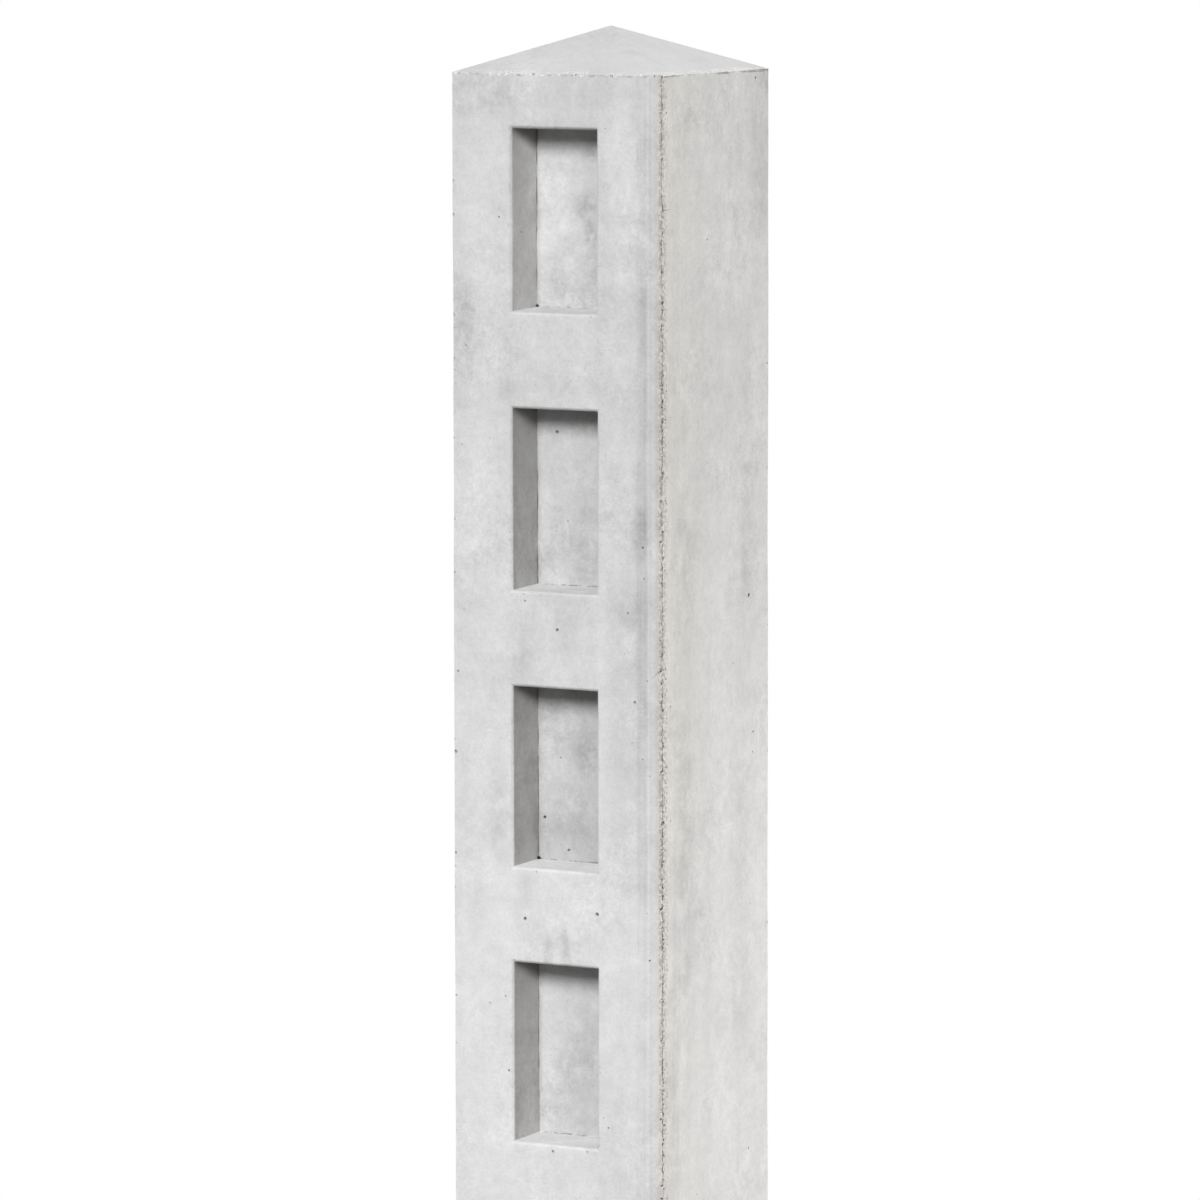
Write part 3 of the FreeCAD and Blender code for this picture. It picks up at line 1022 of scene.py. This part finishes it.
def stain(tone, face, pixel, half_width, half_height, strength):
    """Darkens a ragged patch on a face. A strength below zero leaves a washed spot."""
    reach = (half_width, STAIN_DEPTH, half_height)
    if face == "side":
        reach = (STAIN_DEPTH, half_width, half_height)
    frame_of_stain = {"Vector": place, "Location": seen_at(face, pixel), "Scale": Vector(reach) * MM}
    share = add_node(tree, "ShaderNodeMapping", frame_of_stain, vector_type="TEXTURE")[0]
    distance = add_node(tree, "ShaderNodeVectorMath", {0: share}, operation="LENGTH")["Value"]
    edge = blots if face == "pocket" else ragged
    return darken(tone, strength, both(fade(distance, 0.2, 1.4), edge))


for details in STAINS.values():
    tone = stain(tone, *details)
print(len(STAINS), "stains and washed spots,", len(tree.nodes), "nodes")

# %% [markdown]
# The board joints left thin upright lines beside the chamfer and a pale one near the right face's back
# edge. The water that leaked out at the chamfer dulled a band of the front skin. The chamfer itself is
# darker towards the leak, most of all beside the dull band.

# %% Upright lines and the dull band
DULL_BAND_HEAD = (640, 240)
DULL_BAND_FOOT = (640, 925)
DULL_BAND_WIDTH = 9 * MM


def upright_line(tone, along, middle, half_width, strength, where, seed):
    """Darkens a thin upright line that comes and goes, where a mask is on."""
    distance = size_of(calculate(tree, "SUBTRACT", along, middle))
    broken = ramp(noise(45.0, 3.0, seed, (0.0, 0.0, 1.0)), 0.42, 0.6)
    line = both(fade(distance, half_width * 0.4, half_width), broken)
    return darken(tone, strength, both(line, where))


tone = upright_line(tone, east, chamfered - 2.2 * MM, 0.6 * MM, 0.08, on_front_skin, 8.0)
tone = upright_line(tone, east, chamfered - 5.5 * MM, 0.5 * MM, 0.06, on_front_skin, 9.0)
tone = upright_line(tone, north, 40 * MM, 0.6 * MM, -0.06, on_right, 11.0)
dull_head = seen_at("front", DULL_BAND_HEAD).z
dull_foot = seen_at("front", DULL_BAND_FOOT).z
dull_height = both(fade(level, dull_head - 30 * MM, dull_head), ramp(level, dull_foot, dull_foot + 20 * MM))
dull = ramp(east, chamfered - DULL_BAND_WIDTH, chamfered - DULL_BAND_WIDTH / 3)
dull = both(dull, fade(east, chamfered - 1.2 * MM, chamfered - 0.2 * MM))
dull = both(both(dull, on_front_skin), ramp(streaks, 0.25, 0.7))
tone = darken(tone, 0.05, dull)
tone = darken(tone, 0.14, both(dull, dull_height))
towards_leak = both(on_chamfer, ramp(north, front + 1.2 * MM, front + 3.0 * MM))
tone = darken(tone, 0.05, towards_leak)
tone = darken(tone, 0.08, both(towards_leak, dull_height))
print("dull band from", round(dull_head, 3), "down to", round(dull_foot, 3), "m")

# %% [markdown]
# The sides are a little warmer than the front, and olive towards the leak. The front has a trace of lilac
# near its edges. Right beside the leak the cement is washed out: bare sand shows there with dark grit
# between the grains, fainter further down, and with pale crumbs that are partly pale grains and partly
# painted highlights on grains that stand out. The eave has pale crumbs too, also partly painted highlights.

# %% Masks for the tints, the sand and the crumbs
GRIT_FADES_FROM = (662, 990)
GRIT_FADE_LENGTH = 85 * MM

patches = noise(9.0, 2.0, 18.0)
lilac = both(both(on_front_skin, ramp(size_of(east), 28 * MM, 44 * MM)), ramp(patches, 0.48, 0.62))
olive = both(both(on_right, fade(from_leak, 16 * MM, 32 * MM)), ramp(patches, 0.36, 0.50))
sand = both(both(fade(from_leak, 5 * MM, 9 * MM), on_right), ramp(noise(260.0, 3.0, 12.0), 0.34, 0.56))
near_eave = fade(size_of(calculate(tree, "SUBTRACT", level, eave)), 0.6 * MM, 1.4 * MM)
crumbs = both(ramp(noise(950.0, 1.0, 13.0), 0.53, 0.60), ramp(noise(110.0, 2.0, 14.0), 0.36, 0.50))
# Pale crumbs beside the leak: partly pale grains, partly painted highlights.
leak_crumbs_and_highlights = both(both(fade(from_leak, 4 * MM, 6 * MM), on_right), crumbs)
grit_fades_from = seen_at("side", GRIT_FADES_FROM).z
grit_height = ramp(level, grit_fades_from - GRIT_FADE_LENGTH, grit_fades_from)
grit_share = calculate(tree, "MULTIPLY_ADD", grit_height, 0.35, 0.22)
at_edge = ramp(east, half_side - 1.4 * MM, half_side - 0.7 * MM)
grit = both(ramp(noise(620.0, 2.0, 19.0), 0.46, 0.54), both(at_edge, fade(from_leak, 1.2 * MM, 6.5 * MM)))
print("grit fades below", round(grit_fades_from, 3), "m")

# %% [markdown]
# The shade on the pocket walls under each head is deep and slanted, and the lamps alone leave it too pale.
# So part of it is painted shade here: a dark tint that reaches further down towards the back wall, and a
# weak one on the back wall under the head. It belongs to the post and stays when the light changes. Wherever
# the skin is cut, the stored depth brings out the darker inside, which is partly the concrete under the skin
# and partly painted shade in the hollows, and the deepest holes are painted nearly black as shade.

# %% Masks for the painted shade under the pocket heads and for the broken skin
PAINTED_SHADE_SLANT = 0.4

depth = calculate(tree, "SUBTRACT", north, front)
below_painted_shade_line = calculate(tree, "MULTIPLY_ADD", depth, -PAINTED_SHADE_SLANT, below_head)
# Painted shade under each pocket head: on the walls it slants down towards the back wall, on the back wall
# it is short.
painted_shade_on_wall = both(on_wall, fade(below_painted_shade_line, -2.5 * MM, 4.5 * MM))
painted_shade_on_back = both(on_back_wall, fade(below_head, 1.5 * MM, 11 * MM))
cut = add_node(tree, "ShaderNodeAttribute", attribute_name="cut_depth")["Fac"]
broken = ramp(cut, 0.04 * MM, 0.4 * MM)
# Painted shade in the deepest holes.
deep_hole_shade = ramp(cut, 0.45 * MM, 1.0 * MM)
print("masks for the colours:", len(tree.nodes), "nodes")

# %% Lay the colours over each other
NEUTRAL = (0.6565, 0.656, 0.6575, 1.0)
LILAC = (0.662, 0.6515, 0.6585, 1.0)
WARM = (0.655, 0.648, 0.635, 1.0)
OLIVE = (0.655, 0.648, 0.618, 1.0)
BARE_SAND = (0.70, 0.652, 0.622, 1.0)
# The pale crumb and edge colours are partly pale grains and partly painted highlights.
PALE_CRUMB_AND_HIGHLIGHT = (0.81, 0.785, 0.765, 1.0)
PALE_EDGE_AND_HIGHLIGHT = (0.83, 0.828, 0.825, 1.0)
# Painted shade under the pocket heads.
PAINTED_HEAD_SHADE = (0.17, 0.158, 0.145, 1.0)
# Darker concrete under the skin, and painted shade in the hollows.
UNDER_SKIN_AND_SHADE = (0.33, 0.318, 0.298, 1.0)
# Painted shade in the deepest holes.
PAINTED_HOLE_SHADE = (0.10, 0.094, 0.086, 1.0)

colour = blend(lilac, NEUTRAL, LILAC)
colour = blend(on_sides, colour, WARM)
colour = blend(on_wall, colour, WARM)
colour = blend(olive, colour, OLIVE)
colour = blend(sand, colour, BARE_SAND, share=0.9)
colour = scaled(tree, colour, tone)
# Pale crumbs and painted highlights on grains beside the leak.
colour = blend(leak_crumbs_and_highlights, colour, PALE_CRUMB_AND_HIGHLIGHT, share=0.6)
colour = blend(both(grit, grit_share), colour, UNDER_SKIN_AND_SHADE)
# Pale crumbs and painted highlights along the eave.
colour = blend(both(near_eave, crumbs), colour, PALE_EDGE_AND_HIGHLIGHT)
# Painted shade under the pocket heads, strong on the walls and weak on the back walls.
colour = blend(painted_shade_on_wall, colour, PAINTED_HEAD_SHADE, share=0.88)
colour = blend(painted_shade_on_back, colour, PAINTED_HEAD_SHADE, share=0.20)
# The cut faces take the darker concrete under the skin, with painted shade in the hollows.
colour = blend(broken, colour, UNDER_SKIN_AND_SHADE, share=0.85)
# Painted shade: the deepest holes are nearly black.
colour = blend(deep_hole_shade, colour, PAINTED_HOLE_SHADE)
print("colours:", len(tree.nodes), "nodes")

# %% [markdown]
# Concrete is matt: its roughness is high and only wavers a little. The sand stands up from the paste by a
# tenth of a millimetre, too fine for the mesh, so a Bump node on the grain noise and a coarser one gives it.

# %% Finish
coarse = noise(300.0, 4.0, 15.0)
relief = calculate(tree, "MULTIPLY_ADD", grains, 0.6, coarse)
bump = add_node(tree, "ShaderNodeBump", {"Height": relief, "Strength": 0.5, "Distance": 0.2 * MM})[0]
roughness = calculate(tree, "MULTIPLY_ADD", mottling, 0.12, 0.80)
surface = add_node(tree, "ShaderNodeBsdfPrincipled", {
    "Base Color": colour, "Roughness": roughness, "Specular IOR Level": 0.3, "Normal": bump})[0]
add_node(tree, "ShaderNodeOutputMaterial", {"Surface": surface})
print("concrete:", len(tree.nodes), "nodes")

# %% [markdown]
# ## Background and light
# The photograph has a pure white background, yet the post is softly shaded. So the world shows white to the
# camera, and to mirrors and glass, but gives only a faint warm fill to everything else: that fill is what
# is left in the shadow under each pocket's head.

# %% World
SHADOW_FILL = 0.03
WARM_WHITE = (1.0, 0.96, 0.92, 1.0)
WHITE = (1.0, 1.0, 1.0, 1.0)


def seen_directly(tree):
    """Gives 1 for what the camera, a mirror or glass sees, and 0 for light on its way."""
    path = tree.nodes.new("ShaderNodeLightPath").outputs
    direct = calculate(tree, "MAXIMUM", path["Is Camera Ray"], path["Is Glossy Ray"])
    return calculate(tree, "MAXIMUM", direct, path["Is Transmission Ray"])


world = bpy.data.worlds.new("studio")
world.use_nodes = True
scene.world = world
sky = world.node_tree
sky.nodes.clear()
fill = add_node(sky, "ShaderNodeBackground", {"Color": WARM_WHITE, "Strength": SHADOW_FILL})[0]
white = add_node(sky, "ShaderNodeBackground", {"Color": WHITE, "Strength": 1.0})[0]
shown = add_node(sky, "ShaderNodeMixShader", {0: seen_directly(sky), 1: fill, 2: white})[0]
add_node(sky, "ShaderNodeOutputWorld", {"Surface": shown})
print("world fill", SHADOW_FILL)

# %% [markdown]
# The shadow under a pocket's head is longer in the lower pockets, so the main light can't be far away: it
# stands higher above them. The lengths give its place, more than three and a half metres in front of the
# post and nearly two above the first pocket. It is a round soft box with an even falloff, so that distance
# doesn't dim it towards the foot. The other lights are far soft boxes, which are sun lamps with a wide disc:
# a weak one from the front right for the pocket walls, and others for the right face and for the faces that
# look away from the camera.

# %% Main light
KEY_DISTANCE = 3.67
KEY_RISE = 1.79
KEY_WIDTH = 1.6


def near_box(name, place, aim, width, level):
    """Hangs a round soft box. A level of 1 shows a colour that faces it as it is written."""
    lamp = bpy.data.lights.new(name, "AREA")
    lamp.shape = "DISK"
    lamp.size = width
    lamp.energy = level * math.pi ** 2
    lamp.use_nodes = True
    lamp.node_tree.nodes.clear()
    even = add_node(lamp.node_tree, "ShaderNodeLightFalloff", {"Strength": 1.0})["Constant"]
    glow = add_node(lamp.node_tree, "ShaderNodeEmission", {"Strength": even})[0]
    add_node(lamp.node_tree, "ShaderNodeOutputLight", {"Surface": glow})
    holder = bpy.data.objects.new(name, lamp)
    holder.location = place
    holder.rotation_euler = (place - aim).to_track_quat("Z", "Y").to_euler()
    scene.collection.objects.link(holder)


key_place = Vector((0, front - KEY_DISTANCE, pocket_head + KEY_RISE))
near_box("key_box", key_place, AIM_POINT, KEY_WIDTH, level=0.97)
print("main light at", [round(value, 2) for value in key_place])


# %% Far soft boxes
def far_box(name, azimuth, elevation, width, level):
    """Hangs a far soft box. Angles are in degrees. A level of 1 shows a facing colour as it is written."""
    turn = math.radians(azimuth)
    rise = math.radians(elevation)
    flat = math.cos(rise)
    towards = Vector((math.sin(turn) * flat, -math.cos(turn) * flat, math.sin(rise)))
    lamp = bpy.data.lights.new(name, "SUN")
    lamp.angle = math.radians(width)
    lamp.energy = level * math.pi
    holder = bpy.data.objects.new(name, lamp)
    holder.rotation_euler = towards.to_track_quat("Z", "Y").to_euler()
    scene.collection.objects.link(holder)
    print(name, "at level", level)


far_box("fill_box", azimuth=55, elevation=14, width=30, level=0.16)
far_box("right_box", azimuth=130, elevation=12, width=40, level=0.89)
far_box("left_box", azimuth=-100, elevation=12, width=40, level=0.50)
far_box("top_box", azimuth=180, elevation=68, width=40, level=0.12)

# %% [markdown]
# The floor is a plain pale disc that takes the shadow. Towards its rim it fades into the white background,
# so no edge shows. Only the camera sees it pale: its bounce would lighten the shadows in the pockets from
# below, and in the photograph they are dark, so the light that it gives back is kept low.

# %% Floor
FLOOR_RADIUS = 2.9
FADE_START = 0.35
FADE_END = 2.4
PALE_GREY = (0.82, 0.82, 0.82, 1.0)
DIM_GREY = (0.12, 0.12, 0.12, 1.0)

drawing = bmesh.new()
bmesh.ops.create_circle(drawing, cap_ends=True, segments=96, radius=FLOOR_RADIUS)
floor_mesh = bpy.data.meshes.new("floor")
drawing.to_mesh(floor_mesh)
drawing.free()
floor = bpy.data.objects.new("floor", floor_mesh)
scene.collection.objects.link(floor)
paving = bpy.data.materials.new("pale_floor")
paving.use_nodes = True
floor_tree = paving.node_tree
floor_tree.nodes.clear()
direct = seen_directly(floor_tree)
pale = add_node(floor_tree, "ShaderNodeBsdfDiffuse", {"Color": PALE_GREY})[0]
dim = add_node(floor_tree, "ShaderNodeBsdfDiffuse", {"Color": DIM_GREY})[0]
white = add_node(floor_tree, "ShaderNodeEmission", {"Color": WHITE, "Strength": 1.0})[0]
spot = add_node(floor_tree, "ShaderNodeTexCoord")["Object"]
from_middle = add_node(floor_tree, "ShaderNodeVectorMath", {0: spot}, operation="LENGTH")["Value"]
rim = add_node(floor_tree, "ShaderNodeMapRange", {0: from_middle, 1: FADE_START, 2: FADE_END},
               interpolation_type="SMOOTHSTEP")[0]
ground = add_node(floor_tree, "ShaderNodeMixShader", {0: direct, 1: dim, 2: pale})[0]
faded = calculate(floor_tree, "MULTIPLY", rim, direct)
ground = add_node(floor_tree, "ShaderNodeMixShader", {0: faded, 1: ground, 2: white})[0]
add_node(floor_tree, "ShaderNodeOutputMaterial", {"Surface": ground})
floor_mesh.materials.append(paving)
print("floor of", FLOOR_RADIUS, "m radius")

# %% [markdown]
# ## Hand over
# The helpers that drew the mould and the paths are taken out, and the casting is given to the frame: it
# rides on the only body and stands for the CAD post. The visual model has to stay within the CAD model.

# %% Give the casting to the frame
for helper in [sound, plug, noted, *groove_wires.values(), *path_wires.values()]:
    bpy.data.objects.remove(helper)
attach(casting, "root")
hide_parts("post")
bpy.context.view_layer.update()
casting.data.calc_loop_triangles()
